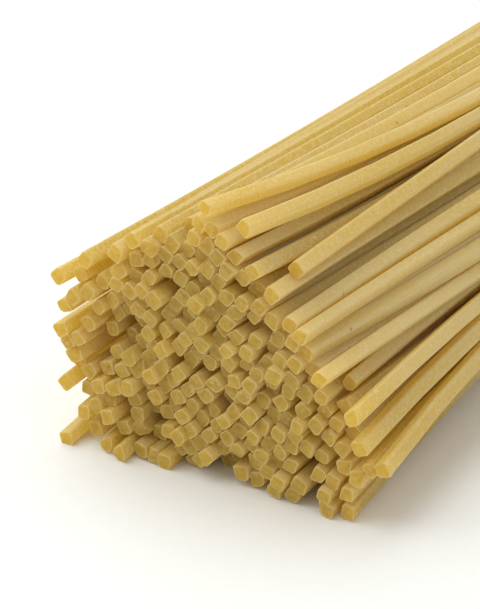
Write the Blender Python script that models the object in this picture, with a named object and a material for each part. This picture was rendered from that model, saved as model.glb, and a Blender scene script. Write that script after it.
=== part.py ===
"""Bundle of dry spaghetti: one solid, fanned out at both ends, lying on its flat underside.

About 260 square strands lie side by side. They are held tight in an oval waist and
spread into a low heap at either end. X is the width, Y the length of the strands and
Z is up; the origin is in the middle of the underside. Units are metres.
"""

import math
import random

import bmesh
import bpy
import numpy as np
from mathutils import Matrix, Vector

MM = 0.001

# Strands
STRAND_SIDE = 2.05 * MM
STRAND_LENGTH = 257.0 * MM
HALF_LENGTH = STRAND_LENGTH / 2
STRAND_PITCH = 2.2 * MM           # from one strand to the next in the waist

# Bundle
WAIST_HALF_WIDTH = 22.8 * MM
WAIST_HALF_HEIGHT = 17.6 * MM
WAIST_LEAN = 0.25                 # the waist's top leans right and its underside left
WAIST_ACROSS = -1.2 * MM          # where its middle lies
WAIST_SINK = 0.6 * MM             # how far its round underside is pressed flat
SPREAD_POWER = 1.8                # how late the bundle spreads on the way to its ends
GROUND_BAND = 0.9 * MM            # what lies lower than this rests on the ground
STATIONS = 10                     # lengths that the body is drawn out in
GAP = 0.3 * MM                    # half the gap between two strands' ends
GAP_DEPTH = 8.0 * MM              # how far behind the mean cut the gaps close
END_SKEW = 0.063                  # how much the cut leans across the width
END_SPREAD = 0.9 * MM             # how unevenly the strands' ends line up
SHORTEST_END = 1.5 * MM           # least that an end stands out of the closed gaps

# Outline of each spread end in mm, as (across, up) from the middle of the underside
FRONT_OUTLINE = ((-23.0, 0.0), (20.6, 0.0), (22.2, 4.5), (24.2, 9.5), (19.5, 17.5),
                 (13.5, 25.0), (7.5, 30.5), (4.0, 36.0), (-2.0, 38.2), (-9.5, 35.2),
                 (-17.0, 30.2), (-24.0, 25.4), (-24.5, 11.5))
BACK_OUTLINE = ((-19.0, 0.0), (14.0, 0.0), (21.0, 4.0), (24.0, 10.5), (23.0, 18.0),
                (23.5, 26.0), (15.0, 30.5), (7.5, 36.0), (-1.0, 38.0), (-8.5, 34.5),
                (-15.0, 27.5), (-21.0, 19.0), (-24.0, 10.5), (-24.0, 4.0))
END_CENTRE = 17.0 * MM            # height that both outlines spread from

# The groove along the top right: its direction from the middle, half-width and depth, and
# (distance from the waist as a share of the half length, share of the depth) on its way
FURROW_ANGLE = math.radians(50)
FURROW_WIDTH = math.radians(9)
FURROW_DEPTH = 2.4 * MM
FURROW_RUN = ((-0.96, 0.0), (-0.86, 1.0), (0.0, 0.7), (0.6, 0.0))

# Hollows where strands stand back from the cut, in mm: (across, up, radius, depth)
FRONT_HOLLOWS = ((-14.5, 18.0, 4.0, 4.5), (-11.0, 7.5, 3.0, 3.0), (1.6, 0.6, 2.0, 8.0))
BACK_HOLLOWS = ((12.0, 15.0, 5.0, 4.0), (-6.0, 22.0, 4.5, 3.5))

# Strands that stand proud of the bundle, in mm: the tip and the place where the strand
# dives back in, each as (across, past the mean cut, up)
FRONT_STRAYS = (
    ((-2.2, 0.6, 39.6), (4.8, -48.0, 33.6)),
    ((3.4, -0.9, 37.6), (7.6, -50.0, 32.0)),
    ((9.1, -4.7, 31.5), (9.2, -48.0, 30.0)),
    ((25.4, -1.2, 9.0), (19.6, -38.0, 12.6)),
    ((20.8, -1.0, 4.0), (17.6, -36.0, 5.8)),
    ((-23.7, 1.6, 23.4), (-20.4, -44.0, 23.0)),
    ((-22.8, 2.0, 15.7), (-21.4, -40.0, 16.6)),
    ((-22.4, 2.2, 8.8), (-20.8, -40.0, 10.6)),
    ((-21.2, 3.6, 1.5), (-19.4, -44.0, 4.4)),
    ((-15.5, 2.6, 1.5), (-15.8, -44.0, 2.8)),
)
BACK_STRAYS = (
    ((1.4, 1.5, 38.4), (-3.6, -50.0, 33.4)),
    ((-8.4, -1.0, 35.0), (-7.4, -46.0, 31.6)),
    ((23.6, 2.4, 25.2), (18.6, -40.0, 23.6)),
    ((24.2, 3.2, 12.4), (20.2, -38.0, 13.6)),
    ((20.4, 3.0, 2.6), (13.4, -40.0, 4.4)),
    ((-23.8, 2.2, 7.2), (-19.6, -38.0, 9.4)),
)

PASTA_COLOUR = (0.62, 0.44, 0.17, 1.0)
PASTA_ROUGHNESS = 0.6
SEED = 11


def clear_objects():
    for old in list(bpy.data.objects):
        bpy.data.objects.remove(old, do_unlink=True)


def make_collection(name):
    collection = bpy.data.collections.new(name)
    bpy.context.scene.collection.children.link(collection)
    return collection


def pasta_material():
    material = bpy.data.materials.new("pasta")
    material.use_nodes = True
    shader = material.node_tree.nodes["Principled BSDF"]
    shader.inputs["Base Color"].default_value = PASTA_COLOUR
    shader.inputs["Roughness"].default_value = PASTA_ROUGHNESS
    shader.inputs["Metallic"].default_value = 0.0
    return material


def reach(outline, angle):
    """How far an end's outline lies from its centre in one direction."""
    away = np.array((math.cos(angle), math.sin(angle)))
    corners = np.array(outline) * MM - (0.0, END_CENTRE)
    farthest = 0.0
    for start, end in zip(corners, np.roll(corners, -1, axis=0)):
        edge = end - start
        turn = away[0] * edge[1] - away[1] * edge[0]
        if abs(turn) < 1e-12:
            continue
        distance = (start[0] * edge[1] - start[1] * edge[0]) / turn
        share = (start[0] * away[1] - start[1] * away[0]) / turn
        if -1e-9 <= share <= 1 + 1e-9:
            farthest = max(farthest, distance)
    return farthest


def furrow_depth(angle, along):
    """How deep the groove along the top right is in one direction of one section."""
    where, share = zip(*FURROW_RUN)
    depth = FURROW_DEPTH * np.interp(along / HALF_LENGTH, where, share)
    return depth * math.exp(-((angle - FURROW_ANGLE) / FURROW_WIDTH) ** 2)


def place(across, up, along):
    """Where a point of the drawn-out disc lies in the bundle's section at 'along'.

    'across' and 'up' are shares of the waist's half-width and half-height.
    """
    spread = abs(along / HALF_LENGTH) ** SPREAD_POWER
    outline = FRONT_OUTLINE if along < 0 else BACK_OUTLINE
    share = math.hypot(across, up)
    angle = math.atan2(WAIST_HALF_HEIGHT * up, WAIST_HALF_WIDTH * across)
    waist = math.hypot(math.cos(angle) / WAIST_HALF_WIDTH, math.sin(angle) / WAIST_HALF_HEIGHT)
    farthest = (1 - spread) / waist + spread * reach(outline, angle)
    radius = share * (farthest - furrow_depth(angle, along))
    middle = (1 - spread) * WAIST_ACROSS
    waist_centre = WAIST_HALF_HEIGHT - WAIST_SINK
    centre = waist_centre + spread * (END_CENTRE - waist_centre)
    height = radius * math.sin(angle)
    x = middle + radius * math.cos(angle) + WAIST_LEAN * (1 - spread) * height
    z = centre + height
    if z < GROUND_BAND:
        z = 0.0
    return x, along, z


def disc_of_strands(shell):
    """A grid of strands cut to a disc with a radius of one, drawn in X and Y.

    It is the waist's cross-section, with every length a share of the waist's own.
    """
    waist_area = math.pi * WAIST_HALF_WIDTH * WAIST_HALF_HEIGHT
    pitch = STRAND_PITCH * math.sqrt(math.pi / waist_area)
    half_count = math.ceil(1 / pitch)
    bmesh.ops.create_grid(
        shell,
        x_segments=2 * half_count,
        y_segments=2 * half_count,
        size=half_count * pitch,
    )
    rim = 1 - 0.3 * pitch
    outside = [face for face in shell.faces if face.calc_center_median().length > rim]
    bmesh.ops.delete(shell, geom=outside, context="FACES")


def draw_out(shell):
    """Draw the disc out into a straight bundle along Z and return its two end faces."""
    root = HALF_LENGTH - GAP_DEPTH
    bmesh.ops.translate(shell, verts=shell.verts[:], vec=(0.0, 0.0, -root))
    front = shell.faces[:]
    layer = front
    for _ in range(STATIONS):
        drawn = bmesh.ops.extrude_face_region(shell, geom=layer, use_keep_orig=True)
        if layer is not front:
            bmesh.ops.delete(shell, geom=layer, context="FACES")
        layer = [item for item in drawn["geom"] if isinstance(item, bmesh.types.BMFace)]
        verts = {vert for face in layer for vert in face.verts}
        bmesh.ops.translate(shell, verts=list(verts), vec=(0.0, 0.0, 2 * root / STATIONS))
    bmesh.ops.recalc_face_normals(shell, faces=shell.faces[:])
    return front, layer


def stand_back(hollows, x, z):
    """How far the strands stand back from the mean cut at one place."""
    depth = 0.0
    for across, up, radius, deepest in hollows:
        square = ((x / MM - across) ** 2 + (z / MM - up) ** 2) / radius ** 2
        depth += deepest * MM * math.exp(-square)
    return depth


def part_ends(shell, faces, side, hollows, rng):
    """Part the strands at one end and give each its own length past the gaps.

    'side' is -1 for the shown end and 1 for the far one.
    """
    gap = GAP / math.sqrt(WAIST_HALF_WIDTH * WAIST_HALF_HEIGHT)
    bmesh.ops.inset_individual(shell, faces=faces, thickness=gap, use_even_offset=True)
    for face in faces:
        middle = face.calc_center_median()
        x, _, z = place(middle.x, middle.y, side * HALF_LENGTH)
        end = GAP_DEPTH + rng.gauss(0.0, END_SPREAD) - stand_back(hollows, x, z)
        end -= side * -END_SKEW * x
        length = max(end, SHORTEST_END)
        bmesh.ops.translate(shell, verts=face.verts[:], vec=(0.0, 0.0, side * length))


def bundle_body(collection, material):
    """The whole bundle without the strands that stand proud of it."""
    rng = random.Random(SEED)
    shell = bmesh.new()
    disc_of_strands(shell)
    front, back = draw_out(shell)
    part_ends(shell, front, -1, FRONT_HOLLOWS, rng)
    part_ends(shell, back, 1, BACK_HOLLOWS, rng)
    for vert in shell.verts:
        vert.co = place(*vert.co)
    bmesh.ops.recalc_face_normals(shell, faces=shell.faces[:])
    mesh = bpy.data.meshes.new("spaghetti_bundle")
    shell.to_mesh(mesh)
    shell.free()
    mesh.materials.append(material)
    body = bpy.data.objects.new("spaghetti_bundle", mesh)
    collection.objects.link(body)
    return body


def stray_strand(collection, name, tip, dive, side, roll):
    """One straight strand from its tip to the place where it dives into the bundle."""
    ends = []
    for across, past, up in (tip, dive):
        ends.append(Vector((across * MM, side * (HALF_LENGTH + past * MM), up * MM)))
    axis = ends[1] - ends[0]
    bpy.ops.mesh.primitive_cube_add(size=1.0)
    strand = bpy.context.active_object
    strand.name = name
    for other in list(strand.users_collection):
        other.objects.unlink(strand)
    collection.objects.link(strand)
    strand.data.transform(Matrix.Diagonal((STRAND_SIDE, STRAND_SIDE, axis.length, 1.0)))
    strand.rotation_mode = "QUATERNION"
    turn = axis.to_track_quat("Z", "Y") @ Matrix.Rotation(roll, 3, "Z").to_quaternion()
    strand.rotation_quaternion = turn
    strand.location = (ends[0] + ends[1]) / 2
    strand.hide_render = True
    strand.display_type = "WIRE"


def add_strays(cutters):
    for side, name, strays in ((-1, "front", FRONT_STRAYS), (1, "back", BACK_STRAYS)):
        for index, (tip, dive) in enumerate(strays):
            roll = 0.2 + 0.5 * index
            stray_strand(cutters, f"stray_{name}_{index}", tip, dive, side, roll)


def join_strays(body, cutters):
    union = body.modifiers.new("strays", "BOOLEAN")
    union.operation = "UNION"
    union.solver = "EXACT"
    union.operand_type = "COLLECTION"
    union.collection = cutters


def centre_over_origin(body, cutters):
    """Shift everything so that the finished solid's box is centred over the origin."""
    solid = body.evaluated_get(bpy.context.evaluated_depsgraph_get()).to_mesh()
    corners = np.array([vert.co for vert in solid.vertices])
    low, high = corners.min(axis=0), corners.max(axis=0)
    shift = Vector((-(low[0] + high[0]) / 2, -(low[1] + high[1]) / 2, -low[2]))
    body.location += shift
    for strand in cutters.objects:
        strand.location += shift


def main():
    clear_objects()
    bundle = make_collection("spaghetti_bundle")
    cutters = make_collection("strays")
    body = bundle_body(bundle, pasta_material())
    add_strays(cutters)
    join_strays(body, cutters)
    centre_over_origin(body, cutters)


main()
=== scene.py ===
"""Looks of the bundle of dry spaghetti: every strand at its real size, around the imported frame.

The strands are square in section and nearly straight. A packing step lays them side by
side inside the bundle's outline without cutting through each other, and each one then
gets its own section, cut ends and colour. Lengths are in millimetres until the meshes
are made.
"""

import math

import bpy
import numpy as np
from mathutils import Matrix, Vector


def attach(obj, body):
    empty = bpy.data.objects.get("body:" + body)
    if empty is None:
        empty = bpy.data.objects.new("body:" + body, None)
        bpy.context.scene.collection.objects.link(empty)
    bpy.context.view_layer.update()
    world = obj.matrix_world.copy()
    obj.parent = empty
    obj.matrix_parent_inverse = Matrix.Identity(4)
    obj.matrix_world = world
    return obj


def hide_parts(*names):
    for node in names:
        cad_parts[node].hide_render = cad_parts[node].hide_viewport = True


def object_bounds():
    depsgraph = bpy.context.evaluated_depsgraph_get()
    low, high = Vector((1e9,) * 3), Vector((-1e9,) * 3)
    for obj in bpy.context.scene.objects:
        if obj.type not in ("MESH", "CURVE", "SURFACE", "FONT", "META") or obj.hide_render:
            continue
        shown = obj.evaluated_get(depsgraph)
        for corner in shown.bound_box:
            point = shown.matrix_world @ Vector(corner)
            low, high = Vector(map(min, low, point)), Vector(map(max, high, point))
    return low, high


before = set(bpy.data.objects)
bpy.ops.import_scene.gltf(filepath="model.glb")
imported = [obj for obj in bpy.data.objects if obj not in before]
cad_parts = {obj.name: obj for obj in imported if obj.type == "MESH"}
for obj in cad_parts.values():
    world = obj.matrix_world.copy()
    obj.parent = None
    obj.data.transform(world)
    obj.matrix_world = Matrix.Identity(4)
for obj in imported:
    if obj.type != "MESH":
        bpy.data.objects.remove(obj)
CAD_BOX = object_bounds()

MM = 0.001
NODE = "spaghetti_bundle"
BODY = "root"

# ---------------------------------------------------------------- the bundle's sizes
STRAND_SIDE = 2.05
STRAND_LENGTH = 257.0
HALF = STRAND_LENGTH / 2
CORNER_RADIUS = 0.4
STRAND_COUNT = 256

WAIST_HALF_WIDTH = 22.8
WAIST_HALF_HEIGHT = 17.6
WAIST_LEAN = 0.25                 # the waist's top leans right of the ends' and its bottom left
WAIST_ACROSS = -1.2
WAIST_SINK = 0.6
END_CENTRE = 17.0
SPREAD_POWER = 1.8
END_SKEW = 0.063
FOREMOST = 3.70                   # how far the foremost strand stands before the mean cut
OFF_MIDDLE = -0.70

# Outline of each spread end, (across, up) from the middle of the underside, as in the CAD
FRONT_OUTLINE = ((-23.0, 0.0), (20.6, 0.0), (22.2, 4.5), (24.2, 9.5), (19.5, 17.5),
                 (13.5, 25.0), (7.5, 30.5), (4.0, 36.0), (-2.0, 38.2), (-9.5, 35.2),
                 (-17.0, 30.2), (-24.0, 25.4), (-24.5, 11.5))
BACK_OUTLINE = ((-19.0, 0.0), (14.0, 0.0), (21.0, 4.0), (24.0, 10.5), (23.0, 18.0),
                (23.5, 26.0), (15.0, 30.5), (7.5, 36.0), (-1.0, 38.0), (-8.5, 34.5),
                (-15.0, 27.5), (-21.0, 19.0), (-24.0, 10.5), (-24.0, 4.0))

# The groove along the top right: its direction from the middle, half-width and depth
FURROW_ANGLE = math.radians(50)
FURROW_WIDTH = math.radians(6)
FURROW_DEPTH = 3.0
FURROW_REACHES = ((-HALF + 5, -HALF + 18, 0.0, HALF * 0.6), (0.0, 1.0, 0.7, 0.0))

# Hollows where strands stand back from the cut: (across, up, radius, depth)
FRONT_HOLLOWS = ((-14.5, 18.0, 3.2, 4.5), (-11.0, 7.5, 2.0, 3.0), (1.3, 0.6, 1.6, 14.0))
BACK_HOLLOWS = ((12.0, 15.0, 5.0, 4.0), (-6.0, 22.0, 4.5, 3.5))

# Strands that lie across the others or stand proud of them. Each is its tip and two
# points that it runs through, as (across, past the mean cut, up).
FRONT_PROUD = (
    ((-2.2, 0.6, 39.6), (3.0, -26.6, 37.4), (5.3, -56.0, 36.2)),
    ((3.3, -0.9, 37.6), (5.6, -20.5, 36.0), (7.9, -51.6, 34.7)),
    ((-1.7, 0.2, 36.6), (1.5, -18.0, 36.0), (4.2, -45.0, 34.8)),
    ((5.8, -0.2, 32.4), (7.0, -15.0, 31.9), (7.4, -40.0, 30.5)),
    ((9.1, -4.7, 31.3), (9.2, -29.9, 33.1), (10.0, -48.7, 33.3)),
    ((7.2, -0.4, 28.2), (9.8, -25.0, 31.0), (10.6, -42.0, 31.2)),
    ((10.3, -0.2, 25.6), (13.1, -16.0, 27.2), (14.3, -40.0, 27.7)),
    ((13.2, 0.3, 25.0), (14.4, -15.0, 26.2), (15.1, -36.0, 26.6)),
    ((17.9, 1.2, 20.9), (17.9, -18.0, 21.6), (18.0, -36.0, 22.1)),
    ((21.4, 1.2, 16.5), (20.3, -22.5, 17.8), (19.6, -40.0, 18.6)),
    ((23.0, 0.6, 11.8), (21.6, -20.3, 14.6), (20.6, -40.0, 16.0)),
    ((25.4, -1.2, 9.0), (23.1, -20.7, 11.4), (21.8, -38.0, 13.0)),
    ((23.3, -1.6, 8.3), (21.2, -20.0, 9.6), (19.8, -38.0, 11.0)),
    ((19.8, -1.0, 3.9), (18.8, -14.0, 4.6), (17.2, -36.0, 5.6)),
    ((19.2, -1.2, 1.6), (17.2, -26.0, 2.4), (15.8, -40.0, 3.0)),
    ((16.9, -0.2, 1.4), (15.2, -26.0, 1.6), (14.0, -40.0, 2.0)),
    ((-19.8, 1.2, 26.9), (-18.3, -20.0, 27.4), (-15.8, -60.0, 27.6)),
    ((-23.7, 1.6, 23.4), (-22.2, -28.0, 24.0), (-21.0, -60.0, 24.2)),
    ((-22.9, 2.0, 19.8), (-22.4, -28.0, 20.4), (-21.8, -60.0, 20.8)),
    ((-22.6, 2.0, 15.7), (-24.0, -28.0, 16.6), (-24.0, -60.0, 17.0)),
    ((-21.5, 2.0, 13.1), (-19.8, -28.0, 13.6), (-18.6, -60.0, 14.0)),
    ((-22.4, 2.2, 8.7), (-23.2, -28.0, 9.6), (-22.8, -60.0, 10.6)),
    ((-19.9, 2.0, 4.9), (-21.2, -28.0, 6.0), (-21.4, -60.0, 7.4)),
    ((-20.9, 3.6, 1.6), (-23.2, -28.0, 3.0), (-22.6, -60.0, 5.0)),
    ((-15.5, 2.6, 1.6), (-18.4, -28.0, 2.0), (-19.4, -60.0, 3.2)),
    ((-13.0, 3.4, 1.2), (-15.6, -28.0, 1.4), (-16.8, -60.0, 1.9)),
)
BACK_PROUD = (
    ((1.4, 1.5, 38.4), (-2.0, -27.0, 36.9), (-3.6, -52.0, 36.0)),
    ((-8.4, -1.0, 34.8), (-7.8, -24.0, 34.2), (-7.2, -48.0, 33.6)),
    ((23.6, 2.4, 25.2), (20.6, -24.0, 24.2), (18.4, -46.0, 23.2)),
    ((24.2, 3.2, 12.4), (21.4, -24.0, 13.2), (19.4, -46.0, 13.8)),
    ((20.4, 3.0, 2.6), (16.0, -26.0, 3.4), (12.6, -52.0, 4.0)),
    ((-23.8, 2.2, 7.2), (-20.4, -26.0, 8.6), (-17.8, -52.0, 9.6)),
)

# ---------------------------------------------------------------- packing
STATIONS = 21
PACK_STEPS = 600
SETTLE_STEPS = 200                # the last ones, in which no strand is held or drawn
PACK_SEED = 2
DIRECTION_SPREAD = 0.004
BEND_SPREAD = 0.3
SINK_SPREAD = 0.6                 # how far some outer strands lie below their neighbours
PUSH = 0.55
NEAR = 3.5
CLING_GAP = 0.4                   # strands closer than this draw a little closer still
CLING = 0.004
HOLD = 0.35
HOLD_LIGHTLY = 0.03
HELD_EASE = 0.3
FLOOR_GAP = 0.04
DIGITS = 6                        # rounding keeps each run the same on every machine
GOLDEN_ANGLE = math.pi * (3 - math.sqrt(5))
ANGLES = np.linspace(-math.pi, math.pi, 181)
ALONG = np.linspace(-HALF, HALF, STATIONS)


def outline_reach(outline):
    """How far an outline lies from its centre, for each of ANGLES."""
    start = np.array(outline) - (0.0, END_CENTRE)
    edge = np.roll(start, -1, axis=0) - start
    away = np.stack([np.cos(ANGLES + 1e-7), np.sin(ANGLES + 1e-7)], axis=1)
    turn = away[:, None, 0] * edge[:, 1] - away[:, None, 1] * edge[:, 0]
    distance = (start[:, 0] * edge[:, 1] - start[:, 1] * edge[:, 0]) / turn
    share = (start[:, 0] * away[:, None, 1] - start[:, 1] * away[:, None, 0]) / turn
    met = (share >= -1e-9) & (share <= 1 + 1e-9) & (distance > 0)
    return soften(np.where(met, distance, 1e9).min(axis=1))


def soften(values, rounds=3):
    """Round a closed outline's corners a little."""
    ring = values[:-1]
    for _ in range(rounds):
        ring = (np.roll(ring, 1) + 2 * ring + np.roll(ring, -1)) / 4
    return np.append(ring, ring[0])


FRONT_REACH = outline_reach(FRONT_OUTLINE)
BACK_REACH = outline_reach(BACK_OUTLINE)


WAIST_REACH = 1 / np.hypot(np.cos(ANGLES) / WAIST_HALF_WIDTH, np.sin(ANGLES) / WAIST_HALF_HEIGHT)
WAIST_CENTRE = np.array((WAIST_ACROSS, WAIST_HALF_HEIGHT - WAIST_SINK))


def section_at(along):
    """The bundle's cross-section: its centre, its reach for ANGLES, and its lean."""
    spread = abs(along / HALF) ** SPREAD_POWER
    centre = WAIST_CENTRE + spread * (np.array((0.0, END_CENTRE)) - WAIST_CENTRE)
    end = FRONT_REACH if along < 0 else BACK_REACH
    reach = WAIST_REACH + spread * (end - WAIST_REACH)
    furrow = FURROW_DEPTH * np.interp(along, *FURROW_REACHES)
    reach = reach - furrow * np.exp(-((ANGLES - FURROW_ANGLE) / FURROW_WIDTH) ** 2)
    return centre, reach, WAIST_LEAN * (1 - spread)


def first_layout(rng):
    """Strands spread evenly over every section, each a little off its neighbours' way."""
    index = np.arange(STRAND_COUNT)
    share = np.sqrt((index + 0.5) / STRAND_COUNT)
    angle = (index * GOLDEN_ANGLE) % (2 * math.pi) - math.pi
    place = np.zeros((STRAND_COUNT, STATIONS, 2))
    for station, along in enumerate(ALONG):
        centre, reach, lean = section_at(along)
        radius = (np.interp(angle, ANGLES, reach) - STRAND_SIDE / 2) * share
        across, up = radius * np.cos(angle), radius * np.sin(angle)
        place[:, station, 0] = centre[0] + across + lean * up
        place[:, station, 1] = centre[1] + up
    way = ALONG / HALF
    slope = rng.normal(0.0, DIRECTION_SPREAD * HALF, (STRAND_COUNT, 1, 2))
    bend = rng.normal(0.0, BEND_SPREAD, (STRAND_COUNT, 1, 2))
    sway = rng.normal(0.0, BEND_SPREAD, (STRAND_COUNT, 1, 2))
    way = way[None, :, None]
    return place + slope * way + bend * (way ** 2 - 0.33) + sway * (way ** 3 - 0.5 * way)


def set_proud(place):
    """Pick a strand for each proud one, and say where it should lie near its end."""
    held = np.zeros((STRAND_COUNT, STATIONS), bool)
    goal = np.zeros_like(place)
    tips = {}
    for side, proud in ((-1, FRONT_PROUD), (1, BACK_PROUD)):
        for points in proud:
            points = np.array(points)
            along = side * (HALF + points[:, 1])
            curves = [np.polyfit(along, points[:, axis], 2) for axis in (0, 2)]
            near_end = side * ALONG >= side * along[-1] - 1.0
            wanted = np.stack([np.polyval(curve, ALONG) for curve in curves], axis=-1)
            last = np.flatnonzero(near_end)[0 if side > 0 else -1]
            gap = np.linalg.norm(place[:, last] - wanted[last], axis=1)
            gap[list(tips)] = np.inf
            strand = int(np.argmin(gap))
            tips[strand] = (side, points[0, 1])
            held[strand] = near_end
            goal[strand, near_end] = wanted[near_end]
    return held, goal, tips


def square_reach(half, angle):
    """How far a square's rounded corner reaches in a direction, and how that changes."""
    across, up = np.cos(angle), np.sin(angle)
    far = half * (np.abs(across) + np.abs(up))
    change = half * (np.sign(up) * across - np.sign(across) * up)
    return far, change


def deepest_overlap(place, roll, half, first, second):
    """The shallowest way to part two rounded squares: depth, direction, roll levers."""
    offset = place[second] - place[first]
    rolls = (roll[first][:, None], roll[second][:, None])
    halves = (half[first][:, None], half[second][:, None])
    best = None
    for owner in (0, 1):
        other = 1 - owner
        far, change = square_reach(halves[other], rolls[owner] - rolls[other])
        for quarter in (0.0, math.pi / 2):
            way = (np.cos(rolls[owner] + quarter), np.sin(rolls[owner] + quarter))
            apart = offset[..., 0] * way[0] + offset[..., 1] * way[1]
            beside = offset[..., 1] * way[0] - offset[..., 0] * way[1]
            depth = halves[owner] + far + 2 * CORNER_RADIUS - np.abs(apart)
            sense = np.sign(apart)
            levers = [None, None]
            levers[owner] = change - sense * beside
            levers[other] = -change + 0 * depth
            found = (depth, sense * way[0], sense * way[1], levers[0], levers[1])
            best = found if best is None else pick(depth < best[0], found, best)
    distance = np.sqrt((offset ** 2).sum(axis=-1)) + 1e-9
    angle = np.arctan2(offset[..., 1], offset[..., 0])
    near, near_change = square_reach(halves[0], angle - rolls[0])
    far, far_change = square_reach(halves[1], angle - rolls[1])
    depth = near + far + 2 * CORNER_RADIUS - distance
    found = (depth, offset[..., 0] / distance, offset[..., 1] / distance,
             -near_change, -far_change)
    return pick(depth < best[0], found, best)


def pick(choice, found, best):
    return tuple(np.where(choice, new, old) for new, old in zip(found, best))


def part_strands(place, roll, half, ease, pairs, cling):
    """One round of pushing overlapping strands apart and turning them."""
    first, second = pairs
    depth, x, z, first_lever, second_lever = deepest_overlap(place, roll, half, first, second)
    turn_ease = 6 / STRAND_SIDE ** 2
    yields = ease[first] + ease[second] + turn_ease * (first_lever ** 2 + second_lever ** 2)
    touching = depth > 0
    drawn = np.where(depth > -CLING_GAP, depth * cling, 0.0)
    push = np.where(touching, depth * PUSH, drawn) / yields
    steps = np.arange(STATIONS)
    size = STRAND_COUNT * STATIONS
    first_slot = (first[:, None] * STATIONS + steps).ravel()
    second_slot = (second[:, None] * STATIONS + steps).ravel()
    shift = np.zeros((size, 2))
    for axis, way in enumerate((x, z)):
        shift[:, axis] += np.bincount(second_slot, (push * ease[second] * way).ravel(), size)
        shift[:, axis] -= np.bincount(first_slot, (push * ease[first] * way).ravel(), size)
    turn = np.bincount(first, (push * first_lever).sum(axis=1), STRAND_COUNT)
    turn += np.bincount(second, (push * second_lever).sum(axis=1), STRAND_COUNT)
    contacts = np.bincount(first, touching.sum(axis=1), STRAND_COUNT)
    contacts += np.bincount(second, touching.sum(axis=1), STRAND_COUNT)
    turn *= -4 * turn_ease / np.maximum(contacts, 1)
    shift = np.clip(shift.reshape(place.shape), -0.5, 0.5)
    return place + shift, roll + np.clip(turn, -0.1, 0.1)


def near_pairs(place):
    near = np.zeros((STRAND_COUNT, STRAND_COUNT), bool)
    for station in range(STATIONS):
        here = place[:, station]
        near |= ((here[:, None] - here[None]) ** 2).sum(axis=-1) < NEAR ** 2
    return np.nonzero(np.triu(near, 1))


def keep_inside(place, held, sections, sink):
    """Draw strands that left the bundle's outline half of the way back in."""
    for station, (centre, reach, lean) in enumerate(sections):
        offset = place[:, station] - centre
        offset[:, 0] -= lean * offset[:, 1]
        radius = np.sqrt((offset ** 2).sum(axis=1)) + 1e-9
        limit = np.interp(np.arctan2(offset[:, 1], offset[:, 0]), ANGLES, reach)
        limit -= STRAND_SIDE / 2 + sink
        outside = (radius > limit) & ~held[:, station]
        scale = np.where(outside, (1 + limit / radius) / 2, 1.0)
        offset *= scale[:, None]
        offset[:, 0] += lean * offset[:, 1]
        place[:, station] = centre + offset
    return place


def pack_strands():
    """Lay all strands side by side. Gives each one's place at every station and its roll."""
    rng = np.random.default_rng(PACK_SEED)
    place = first_layout(rng)
    roll = rng.uniform(0.0, math.pi / 2, STRAND_COUNT)
    side = STRAND_SIDE * np.clip(rng.normal(1.0, 0.025, STRAND_COUNT), 0.94, 1.06)
    half = side / 2 - CORNER_RADIUS
    sink = np.clip(rng.normal(0.0, SINK_SPREAD, STRAND_COUNT), 0.0, None)
    held, goal, tips = set_proud(place)
    place = np.where(held[..., None], goal, place)
    ease = np.where(held, HELD_EASE, 1.0)
    sections = [section_at(along) for along in ALONG]
    powers = np.vander(ALONG / HALF, 4)
    smooth = powers @ np.linalg.pinv(powers)
    for step in range(PACK_STEPS):
        if step % 12 == 0:
            pairs = near_pairs(place)
        settling = step >= PACK_STEPS - SETTLE_STEPS
        hold, cling = (HOLD_LIGHTLY, 0.0) if settling else (HOLD, CLING)
        place, roll = part_strands(place, roll, half, ease, pairs, cling)
        place = keep_inside(place, held, sections, sink)
        place = np.where(held[..., None], place + (goal - place) * hold, place)
        low = (square_reach(half, roll - math.pi / 2)[0] + CORNER_RADIUS + FLOOR_GAP)[:, None]
        place[..., 1] = np.maximum(place[..., 1], low)
        place = np.einsum("kl,nlc->nkc", smooth, place)
        place[..., 1] += np.max(low - place[..., 1], axis=1, keepdims=True).clip(0.0)
        place = np.round(place, DIGITS)
        roll = np.round(roll, DIGITS)
    return place, roll, side, tips


# ---------------------------------------------------------------- cut ends
END_SEED = 8
END_SPREAD = 0.55
SET_BACK_SHARE = 0.06
SET_BACK_DEPTH = (1.2, 3.6)


def stand_back(hollows, x, z):
    depth = np.zeros_like(x)
    for across, up, radius, deepest in hollows:
        depth += deepest * np.exp(-((x - across) ** 2 + (z - up) ** 2) / radius ** 2)
    return depth


def cut_ends(place, tips):
    """Where each strand ends, as (shown end, far end) along the length."""
    rng = np.random.default_rng(END_SEED)
    ends = np.zeros((STRAND_COUNT, 2))
    for column, side, station, hollows in ((0, -1, 0, FRONT_HOLLOWS), (1, 1, -1, BACK_HOLLOWS)):
        x, z = place[:, station, 0], place[:, station, 1]
        past = rng.normal(0.0, END_SPREAD, STRAND_COUNT) - stand_back(hollows, x, z)
        late = rng.random(STRAND_COUNT) < SET_BACK_SHARE
        past -= np.where(late, rng.uniform(*SET_BACK_DEPTH, STRAND_COUNT), 0.0)
        ends[:, column] = side * (HALF + past) + END_SKEW * x
    for strand, (side, past) in tips.items():
        ends[strand, 0 if side < 0 else 1] = side * (HALF + past)
    return ends


# ---------------------------------------------------------------- strand meshes
CORNER_POINTS = 4
CORNER_SIZE = (0.26, 0.6)
CUT_OFF_SIZE = (0.40, 0.62)
CUT_OFF_SHARE = 0.25
CORNER_SHIFT = 0.08
RING = 4 * CORNER_POINTS
BODY_RINGS = 20
SHAPE_SEED = 21
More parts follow.
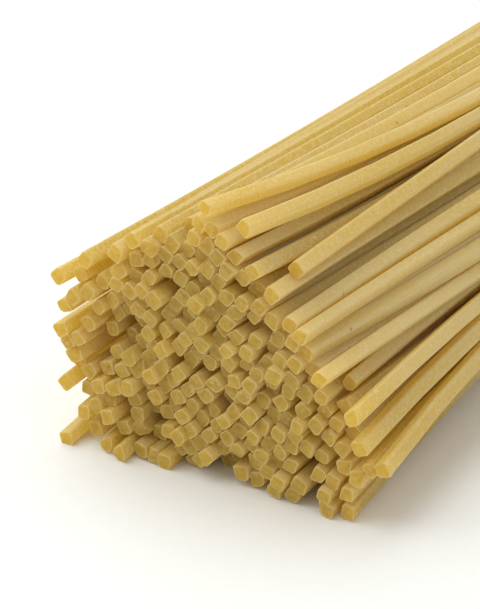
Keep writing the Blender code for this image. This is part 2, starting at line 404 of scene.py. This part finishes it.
# A cut end's rings from the body to the middle: (in from the side, back from the cut)
END_RINGS = ((0.0, 0.6), (0.0, 0.07), (0.05, 0.0), (0.13, 0.0), (0.22, 0.01),
             (0.42, 0.02), (0.66, 0.03), (0.86, 0.03))
RIM_MIDDLE, RIM_WIDTH = 0.06, 0.08
BROKEN_SHARE = 0.10
NICKED_SHARE = 0.25
SPOT_SHARE = 0.35
OUTER_FROM = 0.72
TRUE_SIZE = 0.985                  # beside the size that the packing keeps clear for it


def section_ring(half, rng):
    """A strand's own square, its corners rounded or cut off, and where its corners are."""
    angle = np.linspace(0, math.pi / 2, CORNER_POINTS)
    round_corner = np.stack([np.cos(angle), np.sin(angle)], axis=1)
    share = np.linspace(1, 0, CORNER_POINTS)
    cut_corner = np.stack([share, 1 - share], axis=1) * 0.9 + 0.1
    points = []
    for quarter in range(4):
        cut_off = rng.random() < CUT_OFF_SHARE
        radius = rng.uniform(*(CUT_OFF_SIZE if cut_off else CORNER_SIZE))
        corner = cut_corner if cut_off else round_corner
        points.append((half - radius + radius * corner) @ turned(quarter * math.pi / 2))
    points = np.concatenate(points)
    points += rng.normal(0.0, CORNER_SHIFT, (4, 2)).repeat(CORNER_POINTS, axis=0)
    edge = np.tile(1 - np.abs(np.linspace(-1, 1, CORNER_POINTS)), 4)
    return points, edge


def turned(angle):
    return np.array(((math.cos(angle), math.sin(angle)), (-math.sin(angle), math.cos(angle))))


class StrandMesh:
    """Gathers strands into one mesh, with the values that the pasta material reads."""

    def __init__(self):
        self.points = []
        self.faces = []
        self.values = {"rim": [], "cut": [], "tone": [], "edge": [], "broken": [], "spot": []}
        self.count = 0

    def add(self, points, faces, values):
        self.points.append(points)
        self.faces.extend([tuple(corner + self.count for corner in face) for face in faces])
        for name, numbers in values.items():
            self.values[name].append(numbers)
        self.count += len(points)

    def make(self, name):
        mesh = bpy.data.meshes.new(name)
        mesh.from_pydata((np.concatenate(self.points) * MM).tolist(), [], self.faces)
        for key, parts in self.values.items():
            layer = mesh.attributes.new(key, "FLOAT", "POINT")
            layer.data.foreach_set("value", np.concatenate(parts).astype(np.float32))
        piece = bpy.data.objects.new(name, mesh)
        bpy.context.scene.collection.objects.link(piece)
        return piece


def strand_faces():
    """The faces of any strand: a lid of triangles, rings of quads, a lid of triangles."""
    rings = BODY_RINGS + 2 * len(END_RINGS)
    faces = []
    for step in range(RING):
        following = (step + 1) % RING
        faces.append((0, 1 + step, 1 + following))
        for ring in range(rings - 1):
            low = 1 + ring * RING
            high = low + RING
            faces.append((low + step, high + step, high + following, low + following))
        last = 1 + (rings - 1) * RING
        faces.append((last + step, last + RING, last + following))
    return faces


STRAND_FACES = strand_faces()


def cut_end(ring, half, side, rng):
    """One cut end: its rings' points round the strand's middle line, and their values."""
    lean = rng.normal(0.0, 0.05, 2)
    broken = rng.random() < BROKEN_SHARE
    nicked = rng.random() < NICKED_SHARE
    rough = 0.07 if broken else 0.015
    corner = ring[rng.integers(RING)] / half
    nick = rng.uniform(0.15, 0.5) if nicked else 0.0
    rings = []
    values = []
    for inset, back in END_RINGS:
        flat = ring * (1 - inset / half)
        face = np.clip(1 - back / 0.25, 0.0, 1.0) if inset < 0.2 else 1.0
        towards = np.clip(flat @ corner / half - 0.55, 0.0, None) * 2
        jag = np.abs(rng.normal(0.0, rough, RING)) + nick * towards
        depth = back + face * jag
        rings.append((flat, side * (face * (flat @ lean) - depth)))
        rim = math.exp(-((inset - RIM_MIDDLE) / RIM_WIDTH) ** 2) if inset > 0 else 0.25
        values.append((rim, min(1.0, inset / 0.2), float(broken), 0.0))
    spot = float(rng.random() < SPOT_SHARE)
    return rings, values, spot, float(broken)


def strand_geometry(curve, ends, roll, width, rng):
    """One strand's points and values, from cut to cut, starting with the shown end."""
    half = width * TRUE_SIZE / 2
    ring, edge = section_ring(half, rng)
    spin = turned(roll)
    twist = rng.normal(0.0, 0.06)
    points = []
    values = {name: [] for name in ("rim", "cut", "broken", "spot", "edge")}

    def lay(flat, along, ring_along):
        flat = flat @ spin @ turned(twist * ring_along / HALF)
        x = np.polyval(curve[0], along / HALF)
        z = np.polyval(curve[1], along / HALF)
        along = np.broadcast_to(along, flat[:, 0].shape)
        points.append(np.stack([x + flat[:, 0], along, z + flat[:, 1]], axis=1))

    def note(count, rim, cut, broken, spot, edge_values):
        for name, number in (("rim", rim), ("cut", cut), ("broken", broken), ("spot", spot)):
            values[name].append(np.full(count, float(number)))
        values["edge"].append(edge_values)

    def lay_end(side, where):
        rings, ring_values, spot, broken = cut_end(ring, half, side, rng)
        laid = [(flat, where + past, value) for (flat, past), value in zip(rings, ring_values)]
        return laid, spot, broken

    front, front_spot, front_broken = lay_end(-1, ends[0])
    back, back_spot, back_broken = lay_end(1, ends[1])
    middle = np.zeros((1, 2))
    lay(middle, front[-1][1].mean(), ends[0])
    note(1, 0, 1, front_broken, front_spot, np.zeros(1))
    for flat, along, value in reversed(front):
        lay(flat, along, ends[0])
        note(RING, *value, edge)
    for along in np.linspace(ends[0] + 1.5, ends[1] - 1.5, BODY_RINGS):
        swell = 1 + rng.normal(0.0, 0.006)
        lay(ring * swell, along, along)
        note(RING, 0, 0, 0, 0, edge)
    for flat, along, value in back:
        lay(flat, along, ends[1])
        note(RING, *value, edge)
    lay(middle, back[-1][1].mean(), ends[1])
    note(1, 0, 1, back_broken, back_spot, np.zeros(1))
    points = np.concatenate(points)
    points[:, 2] = np.maximum(points[:, 2], FLOOR_GAP)
    return points, {name: np.concatenate(parts) for name, parts in values.items()}


def build_pieces():
    place, roll, width, tips = pack_strands()
    ends = cut_ends(place, tips)
    rng = np.random.default_rng(SHAPE_SEED)
    waist = place[:, STATIONS // 2] - WAIST_CENTRE
    depth_in = np.hypot(waist[:, 0] / WAIST_HALF_WIDTH, waist[:, 1] / WAIST_HALF_HEIGHT)
    powers = np.vander(ALONG / HALF, 4)
    pieces = {name: StrandMesh() for name in ("strands_inner", "strands_outer", "strands_proud")}
    for strand in range(STRAND_COUNT):
        curve = np.einsum("pk,kc->cp", np.linalg.pinv(powers), place[strand])
        points, values = strand_geometry(curve, ends[strand], roll[strand], width[strand], rng)
        values["tone"] = np.full(len(points), rng.random())
        name = "strands_outer" if depth_in[strand] > OUTER_FROM else "strands_inner"
        name = "strands_proud" if strand in tips else name
        pieces[name].add(points, STRAND_FACES, values)
    return [mesh.make(name) for name, mesh in pieces.items()]


# ---------------------------------------------------------------- material
GOLD_DEEP = (0.65, 0.485, 0.085, 1)
GOLD_LIGHT = (0.75, 0.59, 0.15, 1)
FROST = (0.88, 0.80, 0.52, 1)
AMBER = (0.61, 0.42, 0.085, 1)
AMBER_CLEAR = (0.71, 0.54, 0.135, 1)
RIM = (0.88, 0.76, 0.42, 1)
CRUMB = (0.86, 0.78, 0.58, 1)
BRAN = (0.30, 0.19, 0.08, 1)
GLOW = (0.98, 0.79, 0.23, 1)
GLOW_CUT = (0.98, 0.77, 0.22, 1)
CLEARNESS = 0.48


class Nodes:
    """Short calls for the shader nodes that the materials here are made of."""

    def __init__(self, material):
        material.use_nodes = True
        self.nodes = material.node_tree.nodes
        self.links = material.node_tree.links
        self.shader = self.nodes["Principled BSDF"]

    def make(self, kind, **settings):
        node = self.nodes.new(kind)
        for name, value in settings.items():
            setattr(node, name, value)
        return node

    def feed(self, socket, value):
        if isinstance(value, bpy.types.NodeSocket):
            self.links.new(value, socket)
        else:
            socket.default_value = value

    def attribute(self, name):
        return self.make("ShaderNodeAttribute", attribute_name=name).outputs["Fac"]

    def mix(self, share, first, second, blend="MIX"):
        node = self.make("ShaderNodeMix", data_type="RGBA", blend_type=blend)
        self.feed(node.inputs[0], share)
        self.feed(node.inputs[6], first)
        self.feed(node.inputs[7], second)
        return node.outputs[2]

    def math(self, operation, first, second=0.0):
        node = self.make("ShaderNodeMath", operation=operation)
        self.feed(node.inputs[0], first)
        self.feed(node.inputs[1], second)
        return node.outputs[0]

    def step(self, value, low, high, top=1.0):
        node = self.make("ShaderNodeMapRange", interpolation_type="SMOOTHSTEP")
        node.inputs["From Min"].default_value = low
        node.inputs["From Max"].default_value = high
        node.inputs["To Max"].default_value = top
        self.feed(node.inputs["Value"], value)
        return node.outputs["Result"]

    def place(self, stretch):
        mapping = self.make("ShaderNodeMapping")
        mapping.inputs["Scale"].default_value = stretch
        self.feed(mapping.inputs["Vector"], self.make("ShaderNodeTexCoord").outputs["Object"])
        return mapping.outputs["Vector"]

    def noise(self, scale, stretch=(1, 1, 1), detail=2.0):
        node = self.make("ShaderNodeTexNoise")
        node.inputs["Scale"].default_value = scale
        node.inputs["Detail"].default_value = detail
        self.feed(node.inputs["Vector"], self.place(stretch))
        return node.outputs["Fac"]

    def cells(self, scale):
        node = self.make("ShaderNodeTexVoronoi", feature="F1")
        node.inputs["Scale"].default_value = scale
        self.feed(node.inputs["Vector"], self.place((1, 1, 1)))
        return node.outputs["Distance"]


def pasta_material():
    """Dry pasta: translucent gold, frosted outside with fine cross marks, amber where cut."""
    material = bpy.data.materials.new("dry_pasta")
    tree = Nodes(material)
    shader = tree.shader
    shader.inputs["Roughness"].default_value = 0.52
    shader.inputs["IOR"].default_value = 1.5
    shader.inputs["Specular IOR Level"].default_value = 0.25

    marks = tree.noise(4500.0, (0.4, 1.0, 0.4), 3.0)
    grain = tree.noise(3600.0, (1, 1, 1), 2.0)
    cloud = tree.noise(90.0, (1, 0.2, 1), 2.0)
    cut = tree.attribute("cut")
    outside = tree.math("SUBTRACT", 1.0, cut)

    body = tree.mix(tree.attribute("tone"), GOLD_DEEP, GOLD_LIGHT)
    body = tree.mix(tree.step(cloud, 0.35, 0.7, 0.5), body, FROST)
    frost = tree.math("MULTIPLY", tree.step(marks, 0.42, 0.62), tree.step(grain, 0.3, 0.6))
    body = tree.mix(tree.math("MULTIPLY", frost, 0.9), body, FROST)
    body = tree.mix(tree.math("MULTIPLY", tree.attribute("edge"), 0.4), body, FROST)

    face = tree.mix(tree.step(tree.noise(1300.0), 0.35, 0.65), AMBER, AMBER_CLEAR)
    crumbs = tree.math("MULTIPLY", tree.attribute("broken"), tree.step(tree.noise(2000.0), 0.5, 0.75, 0.6))
    face = tree.mix(crumbs, face, CRUMB)
    face = tree.mix(tree.math("MULTIPLY", tree.attribute("spot"), 0.8), face, CRUMB)

    colour = tree.mix(cut, body, face)
    rim = tree.math("MULTIPLY", tree.attribute("rim"), tree.step(tree.noise(2400.0), 0.2, 0.5, 0.7))
    colour = tree.mix(rim, colour, RIM)
    speck = tree.math("MULTIPLY", tree.step(tree.cells(330.0), 0.075, 0.05), outside)
    colour = tree.mix(speck, colour, CRUMB)
    bran = tree.math("MULTIPLY", tree.step(tree.cells(190.0), 0.06, 0.035), 0.7)
    colour = tree.mix(bran, colour, BRAN)
    tree.feed(shader.inputs["Base Color"], colour)

    bump = tree.make("ShaderNodeBump")
    bump.inputs["Strength"].default_value = 0.6
    bump.inputs["Distance"].default_value = 0.00006
    tree.feed(bump.inputs["Height"], tree.mix(0.5, marks, grain))
    tree.feed(shader.inputs["Normal"], bump.outputs["Normal"])

    through = tree.make("ShaderNodeBsdfTranslucent")
    tree.feed(through.inputs["Color"], tree.mix(cut, GLOW, GLOW_CUT))
    both = tree.make("ShaderNodeMixShader")
    both.inputs["Fac"].default_value = CLEARNESS
    tree.feed(both.inputs[1], shader.outputs["BSDF"])
    tree.feed(both.inputs[2], through.outputs["BSDF"])
    tree.feed(tree.nodes["Material Output"].inputs["Surface"], both.outputs["Shader"])
    return material


# ---------------------------------------------------------------- stage
VIEW_AZIMUTH = 34.6
VIEW_ELEVATION = 28.0
VIEW_DISTANCE = 0.479
VIEW_AIM = (-0.0032, -0.1190, 0.0213)
LENS = 216.6
FLOOR_SIZE = 6.0
WORLD_STRENGTH = 0.67
WORLD_COLOUR = (1.0, 0.967, 0.92, 1.0)
LAMP_COLOUR = (0.94, 1.0, 0.98)
# name, width, power, azimuth, elevation and distance of each soft lamp
LAMPS = (("overhead", 1.6, 10.2, 272.0, 56.0, 0.9), ("fill", 1.4, 1.2, 105.0, 35.0, 0.9))


def towards(azimuth, elevation):
    """A unit vector; azimuth 0 is in front of the shown end and 90 on its right."""
    azimuth, elevation = math.radians(azimuth), math.radians(elevation)
    flat = math.cos(elevation)
    return Vector((math.sin(azimuth) * flat, -math.cos(azimuth) * flat, math.sin(elevation)))


def floor_material():
    material = bpy.data.materials.new("white_paper")
    tree = Nodes(material)
    paper = tree.mix(tree.step(tree.noise(600.0), 0.3, 0.7), (0.86, 0.86, 0.86, 1), (0.87, 0.87, 0.87, 1))
    tree.feed(tree.shader.inputs["Base Color"], paper)
    tree.shader.inputs["Roughness"].default_value = 0.9
    tree.shader.inputs["Specular IOR Level"].default_value = 0.1
    return material


def make_floor():
    bpy.ops.mesh.primitive_plane_add(size=FLOOR_SIZE)
    floor = bpy.context.active_object
    floor.name = "floor"
    floor.data.materials.append(floor_material())


def make_lamp(name, width, power, azimuth, elevation, distance):
    light = bpy.data.lights.new(name, "AREA")
    light.shape = "DISK"
    light.size = width
    light.energy = power
    light.color = LAMP_COLOUR
    lamp = bpy.data.objects.new(name, light)
    bpy.context.scene.collection.objects.link(lamp)
    away = towards(azimuth, elevation)
    lamp.location = away * distance
    lamp.rotation_euler = away.to_track_quat("Z", "Y").to_euler()


def make_world():
    world = bpy.data.worlds.new("studio")
    bpy.context.scene.world = world
    world.use_nodes = True
    background = world.node_tree.nodes["Background"]
    background.inputs["Color"].default_value = WORLD_COLOUR
    background.inputs["Strength"].default_value = WORLD_STRENGTH
    bpy.context.scene.view_settings.view_transform = "Standard"


def make_camera():
    back = towards(VIEW_AZIMUTH, VIEW_ELEVATION)
    camera = bpy.data.cameras.new("camera")
    camera.lens = LENS
    camera.clip_start = 0.01
    holder = bpy.data.objects.new("camera", camera)
    bpy.context.scene.collection.objects.link(holder)
    holder.location = Vector(VIEW_AIM) + back * VIEW_DISTANCE
    holder.rotation_euler = back.to_track_quat("Z", "Y").to_euler()
    bpy.context.scene.camera = holder


def main():
    pieces = build_pieces()
    place_on_frame(pieces)
    pasta = pasta_material()
    for piece in pieces:
        piece.data.materials.append(pasta)
        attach(piece, BODY)
        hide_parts(NODE)
    make_floor()
    make_world()
    for lamp in LAMPS:
        make_lamp(*lamp)
    make_camera()


def place_on_frame(pieces):
    """Put the mean cut of the shown end, and the middle line, where the frame has them."""
    across = (CAD_BOX[0].x + CAD_BOX[1].x) / 2 + OFF_MIDDLE * MM
    along = CAD_BOX[0].y + (FOREMOST + HALF) * MM
    for piece in pieces:
        piece.data.transform(Matrix.Translation((across, along, 0.0)))


main()
